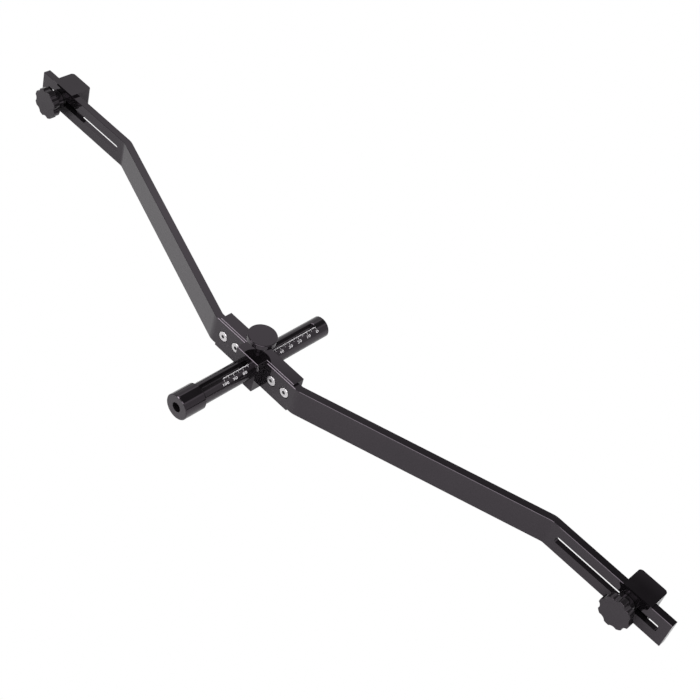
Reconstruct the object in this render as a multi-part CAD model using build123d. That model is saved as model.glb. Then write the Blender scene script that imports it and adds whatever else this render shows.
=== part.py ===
"""Wheel dishing gauge: two bowed arms on a centre block, a grooved scale rod with a
thumb clamp, and two sliding feet held by star knobs. Units are millimetres.

Frame: X runs along the arms, +Y points at the wheel, Z is up from the flat that the
gauge lies on. The rod's axis passes above the origin, and Y = 0 is the arms' front face.
"""
import os
from math import atan, cos, hypot, radians, sin, sqrt, tan

from build123d import *

# Centre block: a bar with a pocket for each arm, and a thick boss around the rod.
BLOCK_H = 30.5
BLOCK_HALF_X = 41.8
BLOCK_FRONT_Y = 0.35
BLOCK_BACK_Y = 11.45
BOSS_HALF_X = 11.7
BOSS_FRONT_Y = -9.6
BLOCK_EDGE = 0.25
MID_Z = BLOCK_H / 2

# Bowed arms, cut from flat bar and bent twice.
ARM_W = 26.0
ARM_T = 6.8
BEND_IN_X = 47.3
BEND_OUT_X = 249.1
ARM_TIP_X = 362.8
ARM_OFFSET_Y = 72.7
BEND_R = 8.0
ARM_EDGE = 0.3
ARM_END_GAP = 0.2
POCKET_GAP = 0.05

# Foot slot in each arm, with a wider groove behind it.
SLOT_X0 = 257.2
SLOT_X1 = 355.0
SLOT_W = 6.5
SLOT_WALL = 4.7
SLOT_CORNER_R = 1.5
GROOVE_W = 14.0

# Arm screws, placed from the block's ends.
SCREW_END_X = 6.5
SCREW_PITCH = 14.75
SCREW_HEAD_R = 4.45
SCREW_HEAD_T = 2.2
SCREW_PROUD = 0.2
SCREW_R = 2.5
SCREW_HOLE_R = 2.75
SCREW_END_GAP = 0.5
SEAT_R = 5.0
SOCKET_ACROSS = 3.0
SOCKET_DEPTH = 1.4

# Measuring rod with its key groove, and the collar on its near end.
ROD_R = 9.0
ROD_NEAR_Y = -72.8
ROD_FAR_Y = 76.3
ROD_EDGE = 0.6
KEYWAY_W = 4.0
KEYWAY_DEPTH = 3.0
KEYWAY_NEAR_Y = -57.0
KEYWAY_FAR_Y = 64.6
KEYWAY_EDGE = 0.3
BORE_GAP = 0.05
COLLAR_R = 11.0
COLLAR_NEAR_Y = -79.0
COLLAR_SHOULDER_Y = -59.0
COLLAR_FAR_Y = -57.5
COLLAR_LIP_R = 9.5
COLLAR_EDGE = 0.5
END_HOLE_R = 4.2
END_HOLE_DEPTH = 18.2

# Thumb knob, clamp screw and pressure pad.
CLAMP_Y = 2.5
THUMB_R = 12.0
THUMB_TOP_Z = 46.95
THUMB_HEAD_T = 4.7
NECK_R = 5.6
NECK_GAP = 0.4
CLAMP_R = 3.0
CLAMP_SEAT = 9.0
PAD_R = 1.8
PAD_T = 3.3
SPIGOT_R = 1.1
SPIGOT_L = 2.0

# Feet, with their studs, washers and star knobs.
FOOT_L = 26.0
FOOT_BACK_Y = 93.2
FOOT_LIP_Y = 71.2
FOOT_CORNER_R = 3.0
FOOT_ARM_GAP = 0.15
FOOT_RIGHT_X = 330.6
FOOT_LEFT_X = -334.2
STUD_OFFSET_X = -4.2
STUD_R = 3.0
STUD_FRONT_Y = 61.6
STUD_BACK_Y = 89.5
BOSS_GAP = 0.3
WASHER_R = 8.6
WASHER_T = 1.2
WASHER_HOLE_R = 3.2
STAR_FRONT_Y = 56.3
STAR_R = 14.0
STAR_RIM_T = 6.6
STAR_LOBES = 8
STAR_TURN_RIGHT = 17.5
STAR_TURN_LEFT = 6.5
SCALLOP_R = 5.0
SCALLOP_DEPTH = 1.6
HUB_R = 8.2
INSERT_R = 4.2
INSERT_L = 10.4

# Clearances shared by the small fits.
PRESS_GAP = 0.02
THREAD_GAP = 0.04


def disc_y(radius, y0, y1, x=0.0, z=MID_Z):
    """Round bar along Y between two planes."""
    bar = Cylinder(radius, y1 - y0, rotation=(-90, 0, 0))
    return bar.translate((x, (y0 + y1) / 2, z))


def disc_z(radius, z0, z1, x=0.0, y=0.0):
    """Round bar along Z between two heights."""
    return Cylinder(radius, z1 - z0).translate((x, y, (z0 + z1) / 2))


def block_xyz(x0, x1, y0, y1, z0, z1):
    """Box between two corners."""
    centre = ((x0 + x1) / 2, (y0 + y1) / 2, (z0 + z1) / 2)
    return Box(x1 - x0, y1 - y0, z1 - z0).translate(centre)


def slot_y(x0, x1, width, y0, y1):
    """Round-ended slot along X, cut along Y, at mid height."""
    r = width / 2
    straight = block_xyz(x0 + r, x1 - r, y0, y1, MID_Z - r, MID_Z + r)
    return straight + disc_y(r, y0, y1, x0 + r) + disc_y(r, y0, y1, x1 - r)


def foot_slot(y0, y1):
    """Cutter for an arm's foot slot, with its corners slightly rounded."""
    slot = block_xyz(SLOT_X0, SLOT_X1, y0, y1, MID_Z - SLOT_W / 2, MID_Z + SLOT_W / 2)
    return fillet(slot.edges().filter_by(Axis.Y), SLOT_CORNER_R)


def hex_y(across, y0, y1, x):
    """Hexagonal bar along Y at mid height."""
    plane = Plane(origin=(x, y0, MID_Z), x_dir=(1, 0, 0), z_dir=(0, 1, 0))
    return extrude(plane * RegularPolygon(across / 2, 6, major_radius=False), y1 - y0)


def corners_at(face, points):
    """Corners of a flat outline that lie at the given places."""
    return [min(face.vertices(), key=lambda v: hypot(v.X - x, v.Y - y)) for x, y in points]


def screw_xs():
    """Distances of an arm's two screws from the rod's axis, inner first."""
    outer = BLOCK_HALF_X - SCREW_END_X
    return outer - SCREW_PITCH, outer


def centre_block():
    """Bar and boss in one piece, with arm pockets, rod bore and tapped holes."""
    outline = Polyline(
        (-BLOCK_HALF_X, BLOCK_BACK_Y), (BLOCK_HALF_X, BLOCK_BACK_Y),
        (BLOCK_HALF_X, BLOCK_FRONT_Y), (BOSS_HALF_X, BLOCK_FRONT_Y),
        (BOSS_HALF_X, BOSS_FRONT_Y), (-BOSS_HALF_X, BOSS_FRONT_Y),
        (-BOSS_HALF_X, BLOCK_FRONT_Y), (-BLOCK_HALF_X, BLOCK_FRONT_Y), close=True)
    body = extrude(make_face(outline), BLOCK_H)
    faces = body.faces().sort_by(Axis.Z)
    body = chamfer(faces[0].edges() + faces[-1].edges(), BLOCK_EDGE)
    half_pocket = ARM_W / 2 + POCKET_GAP
    for side in (-1, 1):
        ends = sorted((side * BOSS_HALF_X, side * (BLOCK_HALF_X + 1)))
        body -= block_xyz(*ends, BLOCK_FRONT_Y - 1, ARM_T, MID_Z - half_pocket, MID_Z + half_pocket)
        for x in screw_xs():
            body -= disc_y(SCREW_R + PRESS_GAP, ARM_T, BLOCK_BACK_Y + 1, side * x)
    body -= disc_y(ROD_R + BORE_GAP, BOSS_FRONT_Y - 1, BLOCK_BACK_Y + 1)
    body -= disc_z(CLAMP_R + THREAD_GAP, MID_Z, BLOCK_H + 1, 0, CLAMP_Y)
    return body


def arm(side):
    """One bowed arm, with screw seats, foot slot and back groove."""
    shift = ARM_T * tan(atan(ARM_OFFSET_Y / (BEND_OUT_X - BEND_IN_X)) / 2)
    inner_x = BOSS_HALF_X + ARM_END_GAP
    back_y = ARM_OFFSET_Y + ARM_T
    hollows = [(BEND_IN_X - shift, ARM_T), (BEND_OUT_X, ARM_OFFSET_Y)]
    crowns = [(BEND_IN_X, 0), (BEND_OUT_X - shift, back_y)]
    outline = make_face(Polyline(
        (inner_x, 0), crowns[0], hollows[1], (ARM_TIP_X, ARM_OFFSET_Y),
        (ARM_TIP_X, back_y), crowns[1], hollows[0], (inner_x, ARM_T), close=True))
    outline = fillet(corners_at(outline, hollows), BEND_R)
    outline = fillet(corners_at(outline, crowns), BEND_R + ARM_T)
    body = extrude(outline.translate((0, 0, MID_Z - ARM_W / 2)), ARM_W)
    faces = body.faces().sort_by(Axis.Z)
    body = chamfer(faces[0].edges() + faces[-1].edges(), ARM_EDGE)
    for x in screw_xs():
        body -= disc_y(SCREW_HOLE_R, -1, ARM_T + 1, x)
        body -= disc_y(SEAT_R, -1, SCREW_HEAD_T - SCREW_PROUD, x)
    groove_y = ARM_OFFSET_Y + SLOT_WALL
    widen = (GROOVE_W - SLOT_W) / 2
    body -= foot_slot(ARM_OFFSET_Y - 1, groove_y)
    body -= slot_y(SLOT_X0 - widen, SLOT_X1 + widen, GROOVE_W, groove_y, back_y + 1)
    return body if side > 0 else body.mirror(Plane.YZ)


def arm_screw(x):
    """Socket screw that holds an arm in its pocket."""
    seat_y = SCREW_HEAD_T - SCREW_PROUD
    head = disc_y(SCREW_HEAD_R, -SCREW_PROUD, seat_y, x)
    body = head + disc_y(SCREW_R, seat_y, BLOCK_BACK_Y - SCREW_END_GAP, x)
    return body - hex_y(SOCKET_ACROSS, -SCREW_PROUD - 1, SOCKET_DEPTH - SCREW_PROUD, x)


def keyway_floor():
    """Height of the flat floor of the rod's groove."""
    return MID_Z + ROD_R - KEYWAY_DEPTH


def keyway():
    """Cutter for the rod's round-ended groove, flared at its mouth."""
    floor_z = keyway_floor()
    mouth_z = MID_Z + sqrt(ROD_R ** 2 - (KEYWAY_W / 2) ** 2) - KEYWAY_EDGE
    mid_y = (KEYWAY_NEAR_Y + KEYWAY_FAR_Y) / 2
    plan = Rot(0, 0, 90) * SlotOverall(KEYWAY_FAR_Y - KEYWAY_NEAR_Y, KEYWAY_W)
    trench = extrude(Pos(0, mid_y, floor_z) * plan, KEYWAY_DEPTH + 1)
    return trench + extrude(Pos(0, mid_y, mouth_z) * plan, 1, taper=-45)


def measuring_rod():
    """Round rod with a flat-bottomed groove along its top and a hole in its near end."""
    body = disc_y(ROD_R, ROD_NEAR_Y, ROD_FAR_Y)
    body = chamfer(body.edges().sort_by(Axis.Y)[-1], ROD_EDGE)
    body -= keyway()
    return body - disc_y(END_HOLE_R, ROD_NEAR_Y - 1, COLLAR_NEAR_Y + END_HOLE_DEPTH)


def rod_collar():
    """Stop collar capped over the rod's near end, with a coned shoulder."""
    body = disc_y(COLLAR_R, COLLAR_NEAR_Y, COLLAR_SHOULDER_Y)
    body = chamfer(body.edges().sort_by(Axis.Y)[0], COLLAR_EDGE)
    nose = Cone(COLLAR_R, COLLAR_LIP_R, COLLAR_FAR_Y - COLLAR_SHOULDER_Y, rotation=(-90, 0, 0))
    body += nose.translate((0, (COLLAR_SHOULDER_Y + COLLAR_FAR_Y) / 2, MID_Z))
    body -= disc_y(ROD_R + PRESS_GAP, ROD_NEAR_Y, COLLAR_FAR_Y + 1)
    return body - disc_y(END_HOLE_R, COLLAR_NEAR_Y - 1, ROD_NEAR_Y + 1)


def thumb_knob():
    """Flat round knob with a plain rim and neck, and a blind hole for its stud."""
    under_z = THUMB_TOP_Z - THUMB_HEAD_T
    head = disc_z(THUMB_R, under_z, THUMB_TOP_Z, 0, CLAMP_Y)
    body = head + disc_z(NECK_R, BLOCK_H + NECK_GAP, under_z, 0, CLAMP_Y)
    return body - disc_z(CLAMP_R + PRESS_GAP, BLOCK_H, clamp_seat(), 0, CLAMP_Y)


def clamp_seat():
    """Height of the thumb knob's blind hole, where its stud ends."""
    return BLOCK_H + NECK_GAP + CLAMP_SEAT


def clamp_screw():
    """Stud of the thumb knob, hollow at its foot for the pressure pad's spigot."""
    foot_z = keyway_floor() + PAD_T
    body = disc_z(CLAMP_R, foot_z, clamp_seat(), 0, CLAMP_Y)
    return body - disc_z(SPIGOT_R + THREAD_GAP, foot_z - 1, foot_z + SPIGOT_L, 0, CLAMP_Y)


def pressure_pad():
    """Pad that presses on the groove's floor."""
    floor_z = keyway_floor()
    body = disc_z(PAD_R, floor_z, floor_z + PAD_T, 0, CLAMP_Y)
    spigot_z = floor_z + PAD_T + SPIGOT_L - THREAD_GAP
    return body + disc_z(SPIGOT_R, floor_z + PAD_T, spigot_z, 0, CLAMP_Y)


def foot_block(x):
    """L-shaped foot behind the arm, with a lip over its top and a round key in its groove."""
    body = block_xyz(x - FOOT_L / 2, x + FOOT_L / 2, FOOT_LIP_Y, FOOT_BACK_Y, 0, BLOCK_H)
    uprights = body.edges().filter_by(Axis.Z).group_by(Axis.Y)[-1]
    body = fillet(uprights, FOOT_CORNER_R)
    back_y = ARM_OFFSET_Y + ARM_T
    lip_z = MID_Z + ARM_W / 2 + FOOT_ARM_GAP
    body -= block_xyz(x - FOOT_L, x + FOOT_L, FOOT_LIP_Y - 1, back_y, -1, lip_z)
    stud_x = x + STUD_OFFSET_X
    key_y = ARM_OFFSET_Y + SLOT_WALL + BOSS_GAP
    body += disc_y(GROOVE_W / 2 - BOSS_GAP, key_y, back_y + 1, stud_x)
    return body - disc_y(STUD_R + PRESS_GAP, key_y - 1, STUD_BACK_Y + PRESS_GAP, stud_x)


def foot_stud(x):
    """Threaded stud from the foot block, through the arm's slot, into the star knob."""
    return disc_y(STUD_R, STUD_FRONT_Y, STUD_BACK_Y, x + STUD_OFFSET_X)


def washer(x):
    """Flat washer on the arm's front face."""
    stud_x = x + STUD_OFFSET_X
    ring = disc_y(WASHER_R, ARM_OFFSET_Y - WASHER_T, ARM_OFFSET_Y, stud_x)
    return ring - disc_y(WASHER_HOLE_R, ARM_OFFSET_Y - 3, ARM_OFFSET_Y + 1, stud_x)


def star_knob(x, turn):
    """Knob with a scalloped rim, a plain hub and a blind hole for its insert."""
    stud_x = x + STUD_OFFSET_X
    rim_y = STAR_FRONT_Y + STAR_RIM_T
    seat_y = ARM_OFFSET_Y - WASHER_T
    body = disc_y(STAR_R, STAR_FRONT_Y, rim_y, stud_x)
    ring = STAR_R - SCALLOP_DEPTH + SCALLOP_R
    for i in range(STAR_LOBES):
        a = radians(turn + 360 * i / STAR_LOBES)
        scallop_x = stud_x + ring * sin(a)
        body -= disc_y(SCALLOP_R, STAR_FRONT_Y, rim_y, scallop_x, MID_Z + ring * cos(a))
    body += disc_y(HUB_R, rim_y, seat_y, stud_x)
    return body - disc_y(INSERT_R + PRESS_GAP, seat_y - INSERT_L, seat_y + 1, stud_x)


def knob_insert(x):
    """Tapped bush moulded into the star knob."""
    stud_x = x + STUD_OFFSET_X
    seat_y = ARM_OFFSET_Y - WASHER_T
    bush = disc_y(INSERT_R, seat_y - INSERT_L, seat_y, stud_x)
    return bush - disc_y(STUD_R + THREAD_GAP, seat_y - INSERT_L - 1, seat_y + 1, stud_x)


def main():
    """Write one STEP file for each piece."""
    pieces = {
        "centre_block": centre_block(),
        "measuring_rod": measuring_rod(),
        "rod_collar": rod_collar(),
        "thumb_knob": thumb_knob(),
        "clamp_screw": clamp_screw(),
        "pressure_pad": pressure_pad(),
    }
    sides = (("left", -1, FOOT_LEFT_X, STAR_TURN_LEFT), ("right", 1, FOOT_RIGHT_X, STAR_TURN_RIGHT))
    for name, side, foot_x, turn in sides:
        pieces[f"arm_{name}"] = arm(side)
        for place, x in zip(("inner", "outer"), screw_xs()):
            pieces[f"arm_screw_{name}_{place}"] = arm_screw(side * x)
        pieces[f"foot_block_{name}"] = foot_block(foot_x)
        pieces[f"foot_stud_{name}"] = foot_stud(foot_x)
        pieces[f"washer_{name}"] = washer(foot_x)
        pieces[f"star_knob_{name}"] = star_knob(foot_x, turn)
        pieces[f"knob_insert_{name}"] = knob_insert(foot_x)
    os.makedirs("parts", exist_ok=True)
    for node, shape in pieces.items():
        export_step(shape, f"parts/{node}.step")


main()
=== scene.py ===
# %% [markdown]
# # A wheel dishing gauge
# This lesson dresses a bicycle wheel dishing gauge. Two bowed bars are screwed to a block,
# a rod with a millimetre scale slides through the block, and two feet slide on the bars.
# The solids come from the CAD model as a fixed frame. We keep the machined solids, give
# them finishes, and model the knobs, screws, threads and scale marks ourselves. Blender works
# in metres; a drawing of such a tool is in millimetres, so lengths are written in those and
# multiplied by MM.

# %% Load the frame
from math import cos, pi, radians, sin

import bpy
from mathutils import Matrix, Vector


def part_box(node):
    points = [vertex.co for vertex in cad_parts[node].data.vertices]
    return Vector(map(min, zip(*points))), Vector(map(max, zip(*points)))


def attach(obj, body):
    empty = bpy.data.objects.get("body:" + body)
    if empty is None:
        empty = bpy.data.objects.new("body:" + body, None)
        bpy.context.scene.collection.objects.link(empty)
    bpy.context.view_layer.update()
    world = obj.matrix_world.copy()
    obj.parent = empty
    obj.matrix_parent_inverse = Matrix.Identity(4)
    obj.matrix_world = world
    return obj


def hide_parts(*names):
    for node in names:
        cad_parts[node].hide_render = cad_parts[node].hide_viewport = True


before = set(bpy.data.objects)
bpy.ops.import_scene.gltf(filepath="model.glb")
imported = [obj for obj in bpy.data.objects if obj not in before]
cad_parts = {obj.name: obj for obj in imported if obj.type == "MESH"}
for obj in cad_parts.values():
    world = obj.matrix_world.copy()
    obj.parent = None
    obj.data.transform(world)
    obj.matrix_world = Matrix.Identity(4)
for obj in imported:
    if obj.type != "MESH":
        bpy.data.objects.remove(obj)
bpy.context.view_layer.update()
MM = 0.001
collar_low, collar_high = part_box("rod_collar")
MID_Z = (collar_low[2] + collar_high[2]) / 2
print("Mid height of bars and rod in metres:", round(MID_Z, 5))

# %% [markdown]
# ## The camera
# The photograph was taken with a long lens from above and to the right. Its place was
# worked out from the rod's scale and from the straight edges of the bars, so it is
# written as numbers. The picture is square, and the lens value holds for a 36 mm sensor.

# %% Place the camera
camera_data = bpy.data.cameras.new("photo_camera")
camera_data.sensor_width = 36.0
camera_data.lens = 73.589
camera_data.clip_start = 0.05
camera_data.clip_end = 30.0
photo_camera = bpy.data.objects.new("photo_camera", camera_data)
photo_camera.location = (0.461830, -0.626441, 0.817901)
photo_camera.rotation_euler = (radians(44.26218), radians(-13.14251), radians(44.50580))
bpy.context.collection.objects.link(photo_camera)
bpy.context.scene.camera = photo_camera
bpy.context.scene.view_settings.view_transform = "Standard"
print("Camera at", [round(v, 3) for v in photo_camera.location])

# %% [markdown]
# ## Floor
# The photograph has a white ground with no shadow left on it. The camera therefore sees
# the floor as plain white. Reflections see a pale matt floor that the gauge shades, because
# the fronts of the black bars mirror the floor before them and go dark where a foot or the
# block stands in the light. A floor that only glows would lose those dark places, so nearly
# all of its light comes from the lamps. The first helper gives the camera its plain white,
# and serves for the sky too. The second is needed before every primitive, because an
# operator works on all that is selected, and loading the frame leaves its solids selected.


# %% White for the camera alone
WHITE = (1.0, 1.0, 1.0, 1.0)


def white_to_camera(tree, kind, mirrored, output):
    """Camera rays see plain white, and all other rays see the mirrored shader."""
    white = tree.nodes.new(kind)
    white.inputs["Color"].default_value = WHITE
    white.inputs["Strength"].default_value = 1.0
    path = tree.nodes.new("ShaderNodeLightPath")
    mix = tree.nodes.new("ShaderNodeMixShader")
    tree.links.new(path.outputs["Is Camera Ray"], mix.inputs["Fac"])
    tree.links.new(mirrored.outputs[0], mix.inputs[1])
    tree.links.new(white.outputs[0], mix.inputs[2])
    tree.links.new(mix.outputs[0], output.inputs["Surface"])
    return path


# %% Nothing selected
def deselect():
    """Nothing selected, so the next operator works on the new object alone."""
    if bpy.context.object and bpy.context.object.mode != "OBJECT":
        bpy.ops.object.mode_set(mode="OBJECT")
    bpy.ops.object.select_all(action="DESELECT")


# %% Lay the floor
FLOOR_GREY = (0.8, 0.8, 0.8, 1.0)
FLOOR_GLOW = 0.08
deselect()
bpy.ops.mesh.primitive_plane_add(size=8.0, location=(0.0, 0.0, -0.2 * MM))
floor = bpy.context.object
floor.name = "studio_floor"
floor_material = bpy.data.materials.new("pale_floor")
floor_material.use_nodes = True
floor_tree = floor_material.node_tree
floor_tree.nodes.clear()
floor_output = floor_tree.nodes.new("ShaderNodeOutputMaterial")
floor_matt = floor_tree.nodes.new("ShaderNodeBsdfDiffuse")
floor_matt.inputs["Color"].default_value = FLOOR_GREY
floor_glow = floor_tree.nodes.new("ShaderNodeEmission")
floor_glow.inputs["Color"].default_value = WHITE
floor_sum = floor_tree.nodes.new("ShaderNodeAddShader")
floor_tree.links.new(floor_matt.outputs[0], floor_sum.inputs[0])
floor_tree.links.new(floor_glow.outputs[0], floor_sum.inputs[1])
floor_path = white_to_camera(floor_tree, "ShaderNodeEmission", floor_sum, floor_output)
glossy_glow = floor_tree.nodes.new("ShaderNodeMath")
glossy_glow.operation = "MULTIPLY"
glossy_glow.inputs[1].default_value = FLOOR_GLOW
floor_tree.links.new(floor_path.outputs["Is Glossy Ray"], glossy_glow.inputs[0])
floor_tree.links.new(glossy_glow.outputs[0], floor_glow.inputs["Strength"])
floor.data.materials.append(floor_material)
print("Floor laid at height", floor.location.z)

# %% [markdown]
# ## Sky
# The tops of the bars mirror the far wall and the ceiling of the studio. In the photograph
# they are dark on the right and grey on the left, where the camera sees them at a flatter
# angle. A ramp over height gives that: bright walls with a dark ceiling above them. An
# image of a studio could do the same, but the ramp needs no file.

# %% Build the sky
SKY_STOPS = ((0.55, 0.55), (0.6, 0.64), (0.65, 0.98), (0.71, 0.84), (0.738, 0.1))
SKY_STRENGTH = 1.2
world = bpy.data.worlds.new("studio_sky")
bpy.context.scene.world = world
world.use_nodes = True
sky = world.node_tree
sky.nodes.clear()
sky_output = sky.nodes.new("ShaderNodeOutputWorld")
sky_coord = sky.nodes.new("ShaderNodeTexCoord")
sky_split = sky.nodes.new("ShaderNodeSeparateXYZ")
sky_ramp = sky.nodes.new("ShaderNodeValToRGB")
stops = sky_ramp.color_ramp.elements
stops.remove(stops[1])
for index, (height, level) in enumerate(SKY_STOPS):
    stop = stops.new(height) if index else stops[0]
    stop.position = height
    stop.color = (level, level, level, 1.0)
sky_walls = sky.nodes.new("ShaderNodeBackground")
sky_walls.inputs["Strength"].default_value = SKY_STRENGTH
sky.links.new(sky_coord.outputs["Generated"], sky_split.inputs[0])
sky.links.new(sky_split.outputs["Z"], sky_ramp.inputs["Fac"])
sky.links.new(sky_ramp.outputs["Color"], sky_walls.inputs["Color"])
white_to_camera(sky, "ShaderNodeBackground", sky_walls, sky_output)
print("Sky ramp with", len(stops), "stops")

# %% [markdown]
# ## Lamps
# Black shiny metal shows its lamps more than it is lit by them. A small lamp stands where
# the broken edges of the block and bars mirror it, which draws the thin bright lines along
# them. A large one on the right lights the floor, and its light falls off to the left as it
# does in the photograph.


# %% Two square lamps
def soft_lamp(name, place, aim, size, watts):
    """A square lamp that faces a point."""
    lamp_data = bpy.data.lights.new(name, "AREA")
    lamp_data.shape = "SQUARE"
    lamp_data.size = size
    lamp_data.energy = watts
    lamp = bpy.data.objects.new(name, lamp_data)
    lamp.location = place
    toward = Vector(aim) - Vector(place)
    lamp.rotation_euler = toward.to_track_quat("-Z", "Y").to_euler()
    bpy.context.collection.objects.link(lamp)
    return lamp


soft_lamp("edge_lamp", (-0.46, -0.77, 0.62), (0.0, 0.0, 0.0), 0.3, 3.0)
soft_lamp("floor_lamp", (0.5, -0.75, 1.0), (0.1, 0.0, 0.0), 1.2, 18.0)

# %% [markdown]
# ## Black anodised aluminium
# The bars, the block, the rod and the feet are anodised black and polished enough to
# mirror their surroundings. That is a nearly black base under a clear glossy skin with a
# faint plum tint in its reflection. Noise on Object coordinates makes the skin's roughness
# uneven, and a very faint fine bump stands for the blasted grain under it.


# %% Anodised finish
PLUM_GLOSS = (1.0, 0.85, 1.0, 1.0)


def start_finish(name):
    """A node material with a plain surface shader, ready for its object coordinates."""
    material = bpy.data.materials.new(name)
    material.use_nodes = True
    tree = material.node_tree
    tree.nodes.clear()
    output = tree.nodes.new("ShaderNodeOutputMaterial")
    surface = tree.nodes.new("ShaderNodeBsdfPrincipled")
    coord = tree.nodes.new("ShaderNodeTexCoord")
    tree.links.new(surface.outputs["BSDF"], output.inputs["Surface"])
    return material, tree, surface, coord


def noise(tree, coord, scale, detail=3.0):
    """Noise on object coordinates."""
    node = tree.nodes.new("ShaderNodeTexNoise")
    node.inputs["Scale"].default_value = scale
    node.inputs["Detail"].default_value = detail
    tree.links.new(coord.outputs["Object"], node.inputs["Vector"])
    return node


def two_tones(tree, surface, clouds, dark, light, start=0.0, end=1.0):
    """Lets the base colour wander between two tones."""
    tint = tree.nodes.new("ShaderNodeValToRGB")
    dark_stop, light_stop = tint.color_ramp.elements
    dark_stop.position = start
    dark_stop.color = (*dark, 1.0)
    light_stop.position = end
    light_stop.color = (*light, 1.0)
    tree.links.new(clouds.outputs["Fac"], tint.inputs["Fac"])
    tree.links.new(tint.outputs["Color"], surface.inputs["Base Color"])


def uneven_gloss(tree, surface, source, smooth, rough):
    """Lets the roughness wander between two values with a noise."""
    node = tree.nodes.new("ShaderNodeMapRange")
    node.inputs["From Min"].default_value = 0.3
    node.inputs["From Max"].default_value = 0.7
    node.inputs["To Min"].default_value = smooth
    node.inputs["To Max"].default_value = rough
    tree.links.new(source.outputs["Fac"], node.inputs["Value"])
    tree.links.new(node.outputs["Result"], surface.inputs["Roughness"])


def grain_bump(tree, surface, source, strength, depth):
    """Bump from a grain noise, depth in mm."""
    node = tree.nodes.new("ShaderNodeBump")
    node.inputs["Strength"].default_value = strength
    node.inputs["Distance"].default_value = depth * MM
    tree.links.new(source.outputs["Fac"], node.inputs["Height"])
    tree.links.new(node.outputs["Normal"], surface.inputs["Normal"])


def anodised(name, dark, light, smooth, rough):
    """Black dyed aluminium: dark base, glossy skin, uneven roughness, blasted grain."""
    material, tree, surface, coord = start_finish(name)
    clouds = noise(tree, coord, 35.0)
    grain = noise(tree, coord, 2600.0, 2.0)
    two_tones(tree, surface, clouds, dark, light, 0.3, 0.7)
    uneven_gloss(tree, surface, clouds, smooth, rough)
    grain_bump(tree, surface, grain, 0.01, 0.02)
    surface.inputs["IOR"].default_value = 1.5
    surface.inputs["Specular Tint"].default_value = PLUM_GLOSS
    return material


bar_finish = anodised("black_anodised", (0.003, 0.0025, 0.003), (0.005, 0.0043, 0.005), 0.02, 0.05)
rod_finish = anodised("rod_anodised", (0.004, 0.0037, 0.004), (0.007, 0.0063, 0.007), 0.1, 0.17)
print("Anodised finishes:", bar_finish.name, rod_finish.name)

# %% [markdown]
# ## Metals, nylon and print
# The screws are bright steel with painted shade in the socket, the studs a duller zinc,
# the washers black oxide, the pad and inserts brass. The star knobs are black nylon, glossy
# enough to show each flute, with a fine moulded grain. The scale is a grey-white print, a
# little worn, so its colour wanders between two greys.


# %% Metals, nylon and print
def plain_metal(name, dark, light, smooth, rough, scratch):
    """Bare or plated metal with fine turning scratches."""
    material, tree, surface, coord = start_finish(name)
    lines = noise(tree, coord, 1400.0, 4.0)
    two_tones(tree, surface, noise(tree, coord, 180.0), dark, light)
    uneven_gloss(tree, surface, lines, smooth, rough)
    grain_bump(tree, surface, lines, scratch, 0.03)
    surface.inputs["Metallic"].default_value = 1.0
    return material


def moulded(name, dark, light, smooth, rough, grain_strength):
    """Dyed or printed matter: two close tones, satin, with a fine grain."""
    material, tree, surface, coord = start_finish(name)
    grain = noise(tree, coord, 1800.0, 2.0)
    two_tones(tree, surface, noise(tree, coord, 60.0), dark, light)
    uneven_gloss(tree, surface, grain, smooth, rough)
    grain_bump(tree, surface, grain, grain_strength, 0.04)
    surface.inputs["IOR"].default_value = 1.45
    surface.inputs["Specular Tint"].default_value = PLUM_GLOSS
    return material


bright_steel = plain_metal("bright_steel", (0.6, 0.58, 0.6), (0.72, 0.7, 0.71), 0.16, 0.28, 0.05)
zinc_steel = plain_metal("zinc_steel", (0.5, 0.5, 0.51), (0.64, 0.64, 0.65), 0.25, 0.4, 0.1)
# Painted shade: a darker steel for the inside of the screw sockets, where little light comes out.
painted_socket_shade = plain_metal("socket_shade", (0.1, 0.096, 0.1), (0.16, 0.153, 0.16), 0.35, 0.5, 0.1)
black_oxide = plain_metal("black_oxide", (0.03, 0.028, 0.03), (0.05, 0.047, 0.05), 0.25, 0.4, 0.1)
brass = plain_metal("turned_brass", (0.62, 0.46, 0.2), (0.75, 0.58, 0.28), 0.22, 0.34, 0.08)
knob_nylon = moulded("knob_nylon", (0.006, 0.0055, 0.006), (0.01, 0.009, 0.01), 0.06, 0.14, 0.04)
scale_print = moulded("scale_print", (0.62, 0.6, 0.62), (0.8, 0.78, 0.8), 0.45, 0.6, 0.1)
print("All finishes:", [material.name for material in bpy.data.materials])

# %% [markdown]
# ## The machined solids
# The block, bars, rod, collar, feet and washers have their real shape in the CAD model, so
# they could be modelled again only with the same result. They stay, and get a finish in
# their material slots, which leaves their meshes untouched.

# %% Dress the machined solids
finishes = {
    bar_finish: ("centre_block", "arm_left", "arm_right", "rod_collar",
                 "foot_block_left", "foot_block_right"),
    rod_finish: ("measuring_rod",),
    black_oxide: ("washer_left", "washer_right"),
    brass: ("pressure_pad", "knob_insert_left", "knob_insert_right"),
}
for finish, names in finishes.items():
    for name in names:
        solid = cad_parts[name]
        solid.data.materials.clear()
        solid.data.materials.append(finish)
print("Dressed", sum(len(names) for names in finishes.values()), "solids")

# %% [markdown]
# ## Tools for modelling
# Each new piece starts from a primitive at the origin and is worked in edit mode, as by
# hand. These helpers pick faces or edges by where they lie, apply a modifier at once, and
# put a finished piece in its place with its transforms applied, so its object stays at the
# origin of the gauge.


# %% Modelling helpers
def only(piece):
    """That piece alone is selected and active."""
    deselect()
    piece.select_set(True)
    bpy.context.view_layer.objects.active = piece


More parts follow.
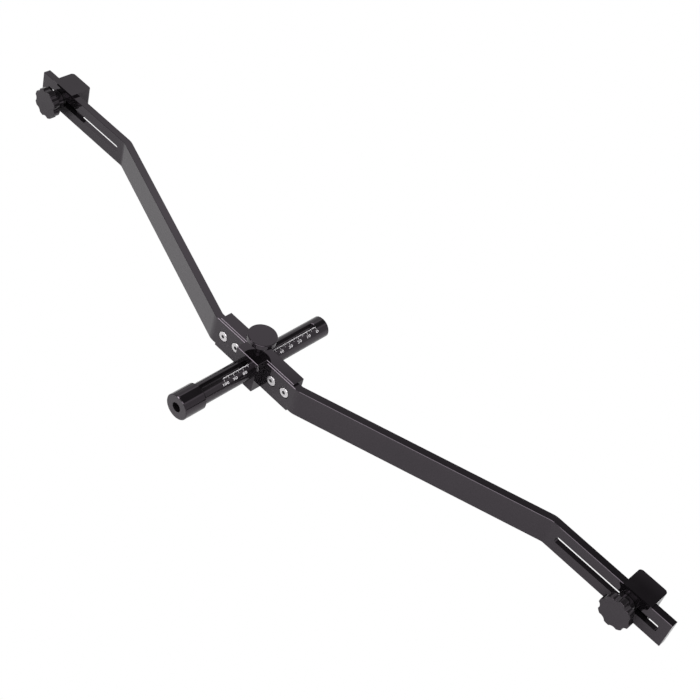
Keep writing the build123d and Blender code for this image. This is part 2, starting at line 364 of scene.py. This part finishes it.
def start_cylinder(name, radius, low, high, sides=96):
    """Cylinder along Z between two heights, ready to be worked on. Lengths in mm."""
    deselect()
    bpy.ops.mesh.primitive_cylinder_add(
        vertices=sides, radius=radius * MM, depth=(high - low) * MM,
        location=(0.0, 0.0, (low + high) / 2 * MM))
    piece = bpy.context.object
    piece.name = name
    bpy.ops.object.transform_apply(location=True, rotation=True, scale=True)
    return piece


def pick(piece, kind, test):
    """Edit mode with only those faces or edges selected for which test is true."""
    bpy.context.view_layer.objects.active = piece
    bpy.ops.object.mode_set(mode="EDIT")
    bpy.ops.mesh.select_mode(type=kind)
    bpy.ops.mesh.select_all(action="DESELECT")
    bpy.ops.object.mode_set(mode="OBJECT")
    points = [Vector(v.co) / MM for v in piece.data.vertices]
    if kind == "FACE":
        for face in piece.data.polygons:
            face.select = test(Vector(face.center) / MM, face.normal)
    else:
        for edge in piece.data.edges:
            edge.select = test(*[points[i] for i in edge.vertices])
    bpy.ops.object.mode_set(mode="EDIT")


def modify(piece, kind, **settings):
    """Adds one modifier and applies it."""
    only(piece)
    modifier = piece.modifiers.new(kind.lower(), kind)
    for key, value in settings.items():
        setattr(modifier, key, value)
    bpy.ops.object.modifier_apply(modifier=modifier.name)


def carve(piece, tool, operation):
    """Joins or cuts with another mesh, which is then removed."""
    modify(piece, "BOOLEAN", object=tool, operation=operation, solver="EXACT")
    bpy.data.objects.remove(tool, do_unlink=True)


def duplicate(piece, name):
    """A copy with its own mesh."""
    only(piece)
    bpy.ops.object.duplicate(linked=False)
    copy = bpy.context.object
    copy.name = name
    return copy


def place(piece, matrix):
    """Puts a piece in its place and applies it, so the object stays at the origin."""
    only(piece)
    piece.matrix_world = matrix
    bpy.ops.object.transform_apply(location=True, rotation=True, scale=True)


def join(pieces, name):
    """One object from several."""
    deselect()
    for piece in pieces:
        piece.select_set(True)
    bpy.context.view_layer.objects.active = pieces[0]
    bpy.ops.object.join()
    pieces[0].name = name
    return pieces[0]


def tidy_mesh(piece, angle):
    """Merges doubles, points the normals out, smooths the rounds and keeps flats flat."""
    only(piece)
    bpy.ops.object.mode_set(mode="EDIT")
    bpy.ops.mesh.select_all(action="SELECT")
    bpy.ops.mesh.remove_doubles(threshold=0.002 * MM)
    bpy.ops.mesh.normals_make_consistent(inside=False)
    bpy.ops.object.mode_set(mode="OBJECT")
    bpy.ops.object.shade_smooth_by_angle(angle=radians(angle))
    modify(piece, "WEIGHTED_NORMAL", mode="FACE_AREA", weight=100, keep_sharp=True)


def hand_over(piece, finish, body, node=None):
    """Gives a piece its finish, unless it has its own, and its place in the frame."""
    if not piece.data.materials:
        piece.data.materials.append(finish)
    if node:
        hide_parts(node)
    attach(piece, body)


def toward_back(x, y):
    """Turns local Z into the gauge's +Y, at a place on the arms' mid height."""
    return Matrix.Translation((x, y, MID_Z)) @ Matrix.Rotation(radians(-90.0), 4, "X")


# %% [markdown]
# ## Star knobs
# Each foot is locked by a knob with eight lobes. A knob could be cut from a profile curve,
# but the lobes then get sharp rims. Here a disc is cut by eight round tools, joined to its
# hub, bored for its insert, and then every sharp edge is rounded at once, which gives the
# short bright lines that the photograph shows along the rim.

# %% Model one star knob, its front face at height zero
KNOB_R = 14.0
KNOB_T = 6.6
LOBES = 8
SCALLOP_R = 5.0
SCALLOP_RING_R = 17.4
HUB_R = 8.2
HUB_END = 15.2
INSERT_R = 4.22
INSERT_FLOOR = 4.8
KNOB_EDGE = 0.45
knob = start_cylinder("star_knob", KNOB_R, 0.0, KNOB_T, 128)
for lobe in range(LOBES):
    cutter = start_cylinder("scallop_tool", SCALLOP_R, -1.0, KNOB_T + 1.0, 64)
    turn = 2 * pi * lobe / LOBES
    across, up = SCALLOP_RING_R * MM * sin(turn), SCALLOP_RING_R * MM * cos(turn)
    place(cutter, Matrix.Translation((across, up, 0.0)))
    carve(knob, cutter, "DIFFERENCE")
carve(knob, start_cylinder("hub", HUB_R, KNOB_T - 1.6, HUB_END), "UNION")
carve(knob, start_cylinder("insert_hole", INSERT_R, INSERT_FLOOR, HUB_END + 0.8, 64), "DIFFERENCE")
modify(knob, "BEVEL", width=KNOB_EDGE * MM, segments=3, limit_method="ANGLE",
       angle_limit=radians(25.0), use_clamp_overlap=False)
tidy_mesh(knob, 32.0)
print("Star knob faces:", len(knob.data.polygons))

# %% Set a knob on each foot
for side, turn in (("left", 6.5), ("right", 17.5)):
    low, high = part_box(f"star_knob_{side}")
    copy = duplicate(knob, f"star_knob_{side}_piece")
    spin = Matrix.Rotation(radians(180.0 - turn), 4, "Z")
    place(copy, toward_back((low[0] + high[0]) / 2, low[1]) @ spin)
    hand_over(copy, knob_nylon, f"star_{side}", f"star_knob_{side}")
    print(side, "knob placed at x", round((low[0] + high[0]) / 2, 4))
bpy.data.objects.remove(knob, do_unlink=True)

# %% [markdown]
# ## Thumb knob
# A flat turned head on a thin neck, which the head hides from above. It is extruded from a
# disc by insets, as on a lathe drawing, and both rims are rounded. Spinning a profile would
# do as well, but a disc already has its flat top. The top is plain.

# %% Model the thumb knob
THUMB_R = 12.0
THUMB_HEAD_T = 4.7
THUMB_NECK_R = 3.4
THUMB_BORE_R = 3.02
THUMB_BORE = 9.0
THUMB_EDGE = 0.7
THUMB_SIDES = 128
flat = cos(pi / THUMB_SIDES)
low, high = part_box("thumb_knob")
top = high[2] / MM
under = top - THUMB_HEAD_T
thumb = start_cylinder("thumb_knob_piece", THUMB_R, under, top, THUMB_SIDES)
pick(thumb, "FACE", lambda c, n: n.z < -0.9)
bpy.ops.mesh.inset(thickness=(THUMB_R - THUMB_NECK_R) * MM * flat)
bpy.ops.mesh.extrude_region_move(TRANSFORM_OT_translate={"value": (0, 0, low[2] - under * MM)})
bpy.ops.mesh.inset(thickness=(THUMB_NECK_R - THUMB_BORE_R) * MM * flat)
bpy.ops.mesh.extrude_region_move(TRANSFORM_OT_translate={"value": (0, 0, THUMB_BORE * MM)})
rim = THUMB_R - 0.1
pick(thumb, "EDGE", lambda a, b: min(a.xy.length, b.xy.length) > rim and abs(a.z - b.z) < 0.1)
bpy.ops.mesh.bevel(offset=THUMB_EDGE * MM, segments=5, affect="EDGES")
place(thumb, Matrix.Translation((0.0, (low[1] + high[1]) / 2, 0.0)))
tidy_mesh(thumb, 40.0)
hand_over(thumb, bar_finish, "thumb", "thumb_knob")
print("Thumb knob top at", round(top, 2), "mm")

# %% [markdown]
# ## Arm screws
# Four bright socket screws hold the bars. One is modelled: a disc with a rounded rim, a
# six-sided socket cut into it, and the shank extruded from its back. The socket's inside
# gets painted shade, a darker finish, because hardly any light comes back out of it. The
# other three screws are copies.

# %% Model one arm screw, its head's face at height zero
SCREW_HEAD_R = 4.45
SCREW_HEAD_T = 2.2
SHANK_R = 2.5
SHANK = 8.95
SCREW_EDGE = 0.6
SCREW_SIDES = 96
SOCKET_ACROSS = 3.0
SOCKET_DEPTH = 1.4
screw = start_cylinder("arm_screw", SCREW_HEAD_R, 0.0, SCREW_HEAD_T, SCREW_SIDES)
pick(screw, "FACE", lambda c, n: n.z > 0.9)
bpy.ops.mesh.inset(thickness=(SCREW_HEAD_R - SHANK_R) * MM * cos(pi / SCREW_SIDES))
bpy.ops.mesh.extrude_region_move(TRANSFORM_OT_translate={"value": (0, 0, SHANK * MM)})
pick(screw, "EDGE", lambda a, b: max(a.z, b.z) < 0.01)
bpy.ops.mesh.bevel(offset=SCREW_EDGE * MM, segments=5, affect="EDGES")
bpy.ops.object.mode_set(mode="OBJECT")
socket = start_cylinder("socket_tool", SOCKET_ACROSS / 2 / cos(pi / 6), -1.0, SOCKET_DEPTH, 6)
carve(screw, socket, "DIFFERENCE")
tidy_mesh(screw, 30.0)
# The second slot paints shade on the faces inside the hex socket.
screw.data.materials.append(bright_steel)
screw.data.materials.append(painted_socket_shade)
socket_edge, socket_floor = SOCKET_ACROSS / 2 + 0.1, SOCKET_DEPTH + 0.1
pick(screw, "FACE", lambda c, n: c.xy.length < socket_edge and 0.05 < c.z < socket_floor)
screw.active_material_index = 1
bpy.ops.object.material_slot_assign()
bpy.ops.object.mode_set(mode="OBJECT")
for side in ("left", "right"):
    for spot in ("inner", "outer"):
        name = f"arm_screw_{side}_{spot}"
        low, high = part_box(name)
        copy = duplicate(screw, f"{name}_piece")
        place(copy, toward_back((low[0] + high[0]) / 2, low[1]))
        hand_over(copy, bright_steel, "frame", name)
bpy.data.objects.remove(screw, do_unlink=True)
print("Screw faces:", len(copy.data.polygons))

# %% [markdown]
# ## Threaded studs
# The feet's studs and the thumb screw carry an M6 thread of 1 mm pitch. One tooth of the
# thread is drawn as a line and swept by the Screw modifier, which turns and lifts it; the
# rod of thread is then cut square at both ends by a bisect that closes the cut. The thumb
# screw's end is bored for the spigot of the pad that it presses down. A plain cylinder with
# a bump in its finish would look the same only from afar.


# %% Model the threads
CREST_R = 3.0
ROOT_R = 2.45
PITCH = 1.0
TOOTH = ((ROOT_R, 0.0), (CREST_R, 0.4), (CREST_R, 0.55), (ROOT_R, 0.95), (ROOT_R, 1.0))
SPIGOT_HOLE_R = 1.14
SPIGOT_HOLE = 2.0


def threaded_rod(name, low, high):
    """Threaded rod along Z between two heights, in mm."""
    turns = int((high - low) / PITCH) + 3
    line = [(radius * MM, 0.0, (low + (part - 1.0) * PITCH) * MM) for radius, part in TOOTH]
    mesh = bpy.data.meshes.new(name)
    mesh.from_pydata(line, [(i, i + 1) for i in range(len(TOOTH) - 1)], [])
    piece = bpy.data.objects.new(name, mesh)
    bpy.context.collection.objects.link(piece)
    modify(piece, "SCREW", axis="Z", screw_offset=PITCH * MM, iterations=turns, steps=24,
           render_steps=24, use_merge_vertices=True, merge_threshold=0.001 * MM)
    bpy.ops.object.mode_set(mode="EDIT")
    for height, side in ((low, "clear_inner"), (high, "clear_outer")):
        bpy.ops.mesh.select_all(action="SELECT")
        bpy.ops.mesh.remove_doubles(threshold=0.001 * MM)
        bpy.ops.mesh.select_all(action="SELECT")
        bpy.ops.mesh.bisect(plane_co=(0, 0, height * MM), plane_no=(0, 0, 1),
                            use_fill=True, **{side: True})
    bpy.ops.object.mode_set(mode="OBJECT")
    tidy_mesh(piece, 30.0)
    return piece


for side in ("left", "right"):
    low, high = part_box(f"foot_stud_{side}")
    stud = threaded_rod(f"foot_stud_{side}_piece", 0.0, (high[1] - low[1]) / MM)
    place(stud, toward_back((low[0] + high[0]) / 2, low[1]))
    hand_over(stud, zinc_steel, f"foot_{side}", f"foot_stud_{side}")
low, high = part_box("clamp_screw")
clamp_end = low[2] / MM
clamp = threaded_rod("clamp_screw_piece", clamp_end, high[2] / MM)
place(clamp, Matrix.Translation((0.0, (low[1] + high[1]) / 2, 0.0)))
spigot_top = clamp_end + SPIGOT_HOLE
spigot_tool = start_cylinder("spigot_tool", SPIGOT_HOLE_R, clamp_end - 1.0, spigot_top, 32)
carve(clamp, spigot_tool, "DIFFERENCE")
tidy_mesh(clamp, 30.0)
hand_over(clamp, zinc_steel, "thumb", "clamp_screw")
print("Thread faces:", len(stud.data.polygons), len(clamp.data.polygons))

# %% [markdown]
# ## The scale
# The rod carries a millimetre scale to the right of its groove: a base line, a tick for each
# millimetre, longer ones at 5 and 10, and a number every 10 that reads from the near end. A
# mark is a strip cut from a cylinder just under the rod's surface, given a thickness so that
# it stands a few hundredths proud, and repeated along the rod. A texture could draw the
# marks too, but a mesh stays crisp at any distance.

# %% Ticks along the rod
SCALE_ZERO_Y = 63.8
SCALE_LENGTH = 100
SCALE_EDGE = 18.0
PRINT_R = 8.99
PRINT_T = 0.03


def tick_row(name, start, end, step, count, length=0.0):
    """Marks between two angles in degrees from the rod's top, one each step of millimetres."""
    strip = start_cylinder(name, PRINT_R, -0.1, length + 0.1, 180)
    toward_front = Matrix.Rotation(radians(90.0), 4, "X")
    place(strip, Matrix.Translation((0.0, SCALE_ZERO_Y * MM, MID_Z)) @ toward_front)
    wanted = Vector((sin(radians((start + end) / 2)), 0.0, cos(radians((start + end) / 2))))
    reach = cos(radians((end - start) / 2))
    pick(strip, "FACE", lambda c, n: abs(n.y) > 0.5 or n.dot(wanted) < reach)
    bpy.ops.mesh.delete(type="FACE")
    bpy.ops.object.mode_set(mode="OBJECT")
    modify(strip, "SOLIDIFY", thickness=PRINT_T * MM, offset=1.0)
    modify(strip, "ARRAY", count=count, use_relative_offset=False, use_constant_offset=True,
           constant_offset_displace=(0.0, -step * MM, 0.0))
    return strip


rows = [tick_row("base_line", SCALE_EDGE, SCALE_EDGE + 2.0, 1.0, 1, SCALE_LENGTH),
        tick_row("ticks_1", SCALE_EDGE + 2.0, SCALE_EDGE + 6.0, 1.0, SCALE_LENGTH + 1),
        tick_row("ticks_5", SCALE_EDGE + 6.0, SCALE_EDGE + 14.0, 5.0, SCALE_LENGTH // 5 + 1),
        tick_row("ticks_10", SCALE_EDGE + 14.0, SCALE_EDGE + 18.0, 10.0, SCALE_LENGTH // 10 + 1)]
ticks = join(rows, "scale_ticks")
tidy_mesh(ticks, 30.0)
hand_over(ticks, scale_print, "rod")
print("Ticks:", len(ticks.data.polygons), "faces")

# %% [markdown]
# ## Numbers
# Each number starts as text, is made a mesh, cut into fine bands so that it can bend, and
# drawn on to a guide cylinder by a Shrinkwrap modifier. The figures are stretched along the
# rod, because the real ones are wide and low, the single zero most of all. Their row leans
# away from the ticks a little towards the near end.

# %% Numbers beside the ticks
FIGURE_H = 3.1
FIGURE_WIDE = 1.4
ZERO_WIDE = 1.9
FIGURE_BOLD = 0.02
FIGURE_ANGLE = 44.3
ANGLE_PER_MM = 0.05
BAND = 0.25
guide = start_cylinder("number_guide", PRINT_R, -90.0, 90.0, 360)
place(guide, toward_back(0.0, 0.0))
numbers = []
for reading in range(0, SCALE_LENGTH + 1, 10):
    deselect()
    bpy.ops.object.text_add()
    number = bpy.context.object
    number.data.body = str(reading)
    number.data.size = FIGURE_H * MM
    number.data.offset = FIGURE_BOLD * MM
    number.data.space_character = 1.05
    number.data.align_x = "CENTER"
    number.data.align_y = "CENTER"
    number.data.resolution_u = 4
    bpy.ops.object.convert(target="MESH")
    bpy.ops.object.mode_set(mode="EDIT")
    bpy.ops.mesh.select_all(action="SELECT")
    bpy.ops.mesh.remove_doubles(threshold=0.002 * MM)
    for level in range(-5, 6):
        bpy.ops.mesh.select_all(action="SELECT")
        bpy.ops.mesh.bisect(plane_co=(0, level * BAND * MM, 0), plane_no=(0, 1, 0))
    bpy.ops.object.mode_set(mode="OBJECT")
    wide = FIGURE_WIDE if reading else ZERO_WIDE
    angle = radians(FIGURE_ANGLE + ANGLE_PER_MM * reading)
    out = Vector((sin(angle), 0.0, cos(angle)))
    spot = out * (PRINT_R + 0.1) * MM + Vector((0.0, (SCALE_ZERO_Y - reading) * MM, MID_Z))
    turned = Matrix((Vector((0.0, 1.0, 0.0)), Vector((-out.z, 0.0, out.x)), out)).transposed()
    place(number, Matrix.Translation(spot) @ turned.to_4x4() @ Matrix.Diagonal((wide, 1.0, 1.0, 1.0)))
    modify(number, "SHRINKWRAP", target=guide, wrap_method="NEAREST_SURFACEPOINT")
    modify(number, "SOLIDIFY", thickness=PRINT_T * MM, offset=1.0)
    numbers.append(number)
bpy.data.objects.remove(guide, do_unlink=True)
numerals = join(numbers, "scale_numerals")
tidy_mesh(numerals, 30.0)
hand_over(numerals, scale_print, "rod")
print("Numerals:", len(numerals.data.polygons), "faces")
